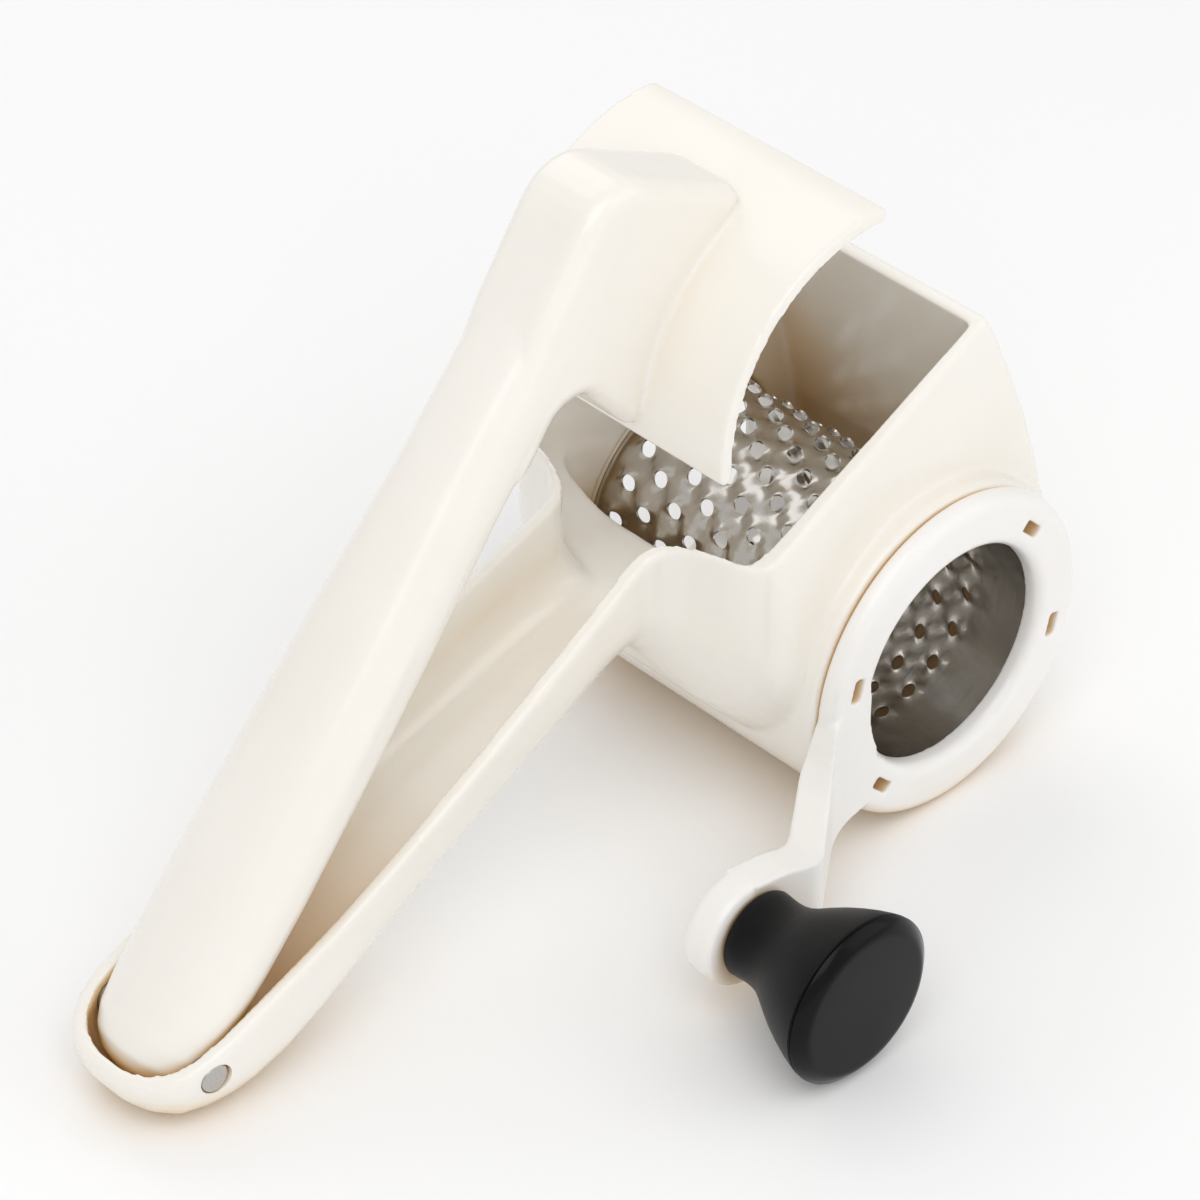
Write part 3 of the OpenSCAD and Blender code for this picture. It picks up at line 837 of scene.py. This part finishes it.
class GRATER_OT_knob_axle(bpy.types.Operator):
    """Turn the headed steel axle that holds the knob on the crank"""

    bl_idname = "grater.knob_axle"
    bl_label = "Knob axle"

    def execute(self, context):
        low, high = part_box("knob_axle")
        start, end = (low.y - DRUM_AXIS.y) / MM, (high.y - DRUM_AXIS.y) / MM
        axle = lathe("knob_axle_turned", [
            (0, start), (4.6, start), (5, start + 0.4), (5, start + 1.2), (4.6, start + 1.6), (2.5, start + 1.6),
            (2.5, end - 0.4), (2.1, end), (0, end)], (KNOB.x, KNOB.z), 48)
        finish_piece(axle, "knob_axle_turned", "drum_and_crank", material("steel_turned"),
                     ["knob_axle"], 35)
        return {"FINISHED"}


# --- Stage ---------------------------------------------------------------------------------------

def soft_light(name, position, target, across, watts):
    """A square area light at a point, turned to a target, both in mm around the drum's axis."""
    clear_selection()
    bpy.ops.object.light_add(type="AREA", location=place(*position))
    lamp = bpy.context.object
    lamp.name = name
    lamp.data.size = across
    lamp.data.energy = watts
    lamp.rotation_euler = (place(*target) - place(*position)).to_track_quat("-Z", "Y").to_euler()
    return lamp


class GRATER_OT_stage(bpy.types.Operator):
    """Lay the pale floor, hang the soft lights and set up the camera"""

    bl_idname = "grater.stage"
    bl_label = "Stage"

    def execute(self, context):
        clear_selection()
        bpy.ops.mesh.primitive_plane_add(size=12, location=(0, 0, 0))
        floor = context.object
        floor.name = "floor"
        paint, shader, _ = surface("matt_paper", Roughness=0.9)
        shader.inputs["Base Color"].default_value = context.scene.grater_finish.floor
        floor.data.materials.append(paint)

        middle = (-60, 0, 20)
        soft_light("key", (-500, -500, 900), middle, 0.9, 3.9)
        soft_light("side", (500, -700, 500), middle, 0.8, 1.2)
        soft_light("rim", (200, 700, 700), middle, 0.8, 1.5)
        world = bpy.data.worlds.new("studio")
        context.scene.world = world
        world.use_nodes = True
        world.node_tree.nodes["Background"].inputs["Color"].default_value = (1, 1, 1, 1)
        world.node_tree.nodes["Background"].inputs["Strength"].default_value = 0.7
        context.scene.view_settings.view_transform = "Standard"

        clear_selection()
        position, target = place(-569.3, -539, 597.6), place(-50.1, 2.4, 14.7)
        bpy.ops.object.camera_add(location=position)
        camera = context.object
        camera.rotation_euler = (target - position).to_track_quat("-Z", "Y").to_euler()
        camera.data.lens = 150
        camera.data.sensor_width = 36
        context.scene.camera = camera
        return {"FINISHED"}


# --- Panel and registration ----------------------------------------------------------------------

OPERATORS = (
    GRATER_OT_stage, GRATER_OT_body, GRATER_OT_pivot_pin, GRATER_OT_press_lever, GRATER_OT_drum_sheet,
    GRATER_OT_drum_sleeves, GRATER_OT_crank, GRATER_OT_knob, GRATER_OT_knob_axle)


class GRATER_PT_panel(bpy.types.Panel):
    """Sizes, colours and the steps that build the grater"""

    bl_idname = "GRATER_PT_panel"
    bl_label = "Rotary Cheese Grater"
    bl_space_type = "VIEW_3D"
    bl_region_type = "UI"
    bl_category = "Grater"

    def draw(self, context):
        for group in (context.scene.grater_size, context.scene.grater_finish):
            box = self.layout.box()
            for name in group.bl_rna.properties.keys():
                if name not in ("rna_type", "name"):
                    box.prop(group, name)
        for operator in OPERATORS:
            self.layout.operator(operator.bl_idname)


CLASSES = (GraterSize, GraterFinish, *OPERATORS, GRATER_PT_panel)


def register():
    for cls in CLASSES:
        bpy.utils.register_class(cls)
    bpy.types.Scene.grater_size = bpy.props.PointerProperty(type=GraterSize)
    bpy.types.Scene.grater_finish = bpy.props.PointerProperty(type=GraterFinish)


def unregister():
    del bpy.types.Scene.grater_finish
    del bpy.types.Scene.grater_size
    for cls in reversed(CLASSES):
        bpy.utils.unregister_class(cls)


def main():
    register()
    for operator in OPERATORS:
        group, name = operator.bl_idname.split(".")
        if getattr(getattr(bpy.ops, group), name)() != {"FINISHED"}:
            raise RuntimeError(operator.bl_label + " couldn't finish")


if __name__ == "__main__":
    main()
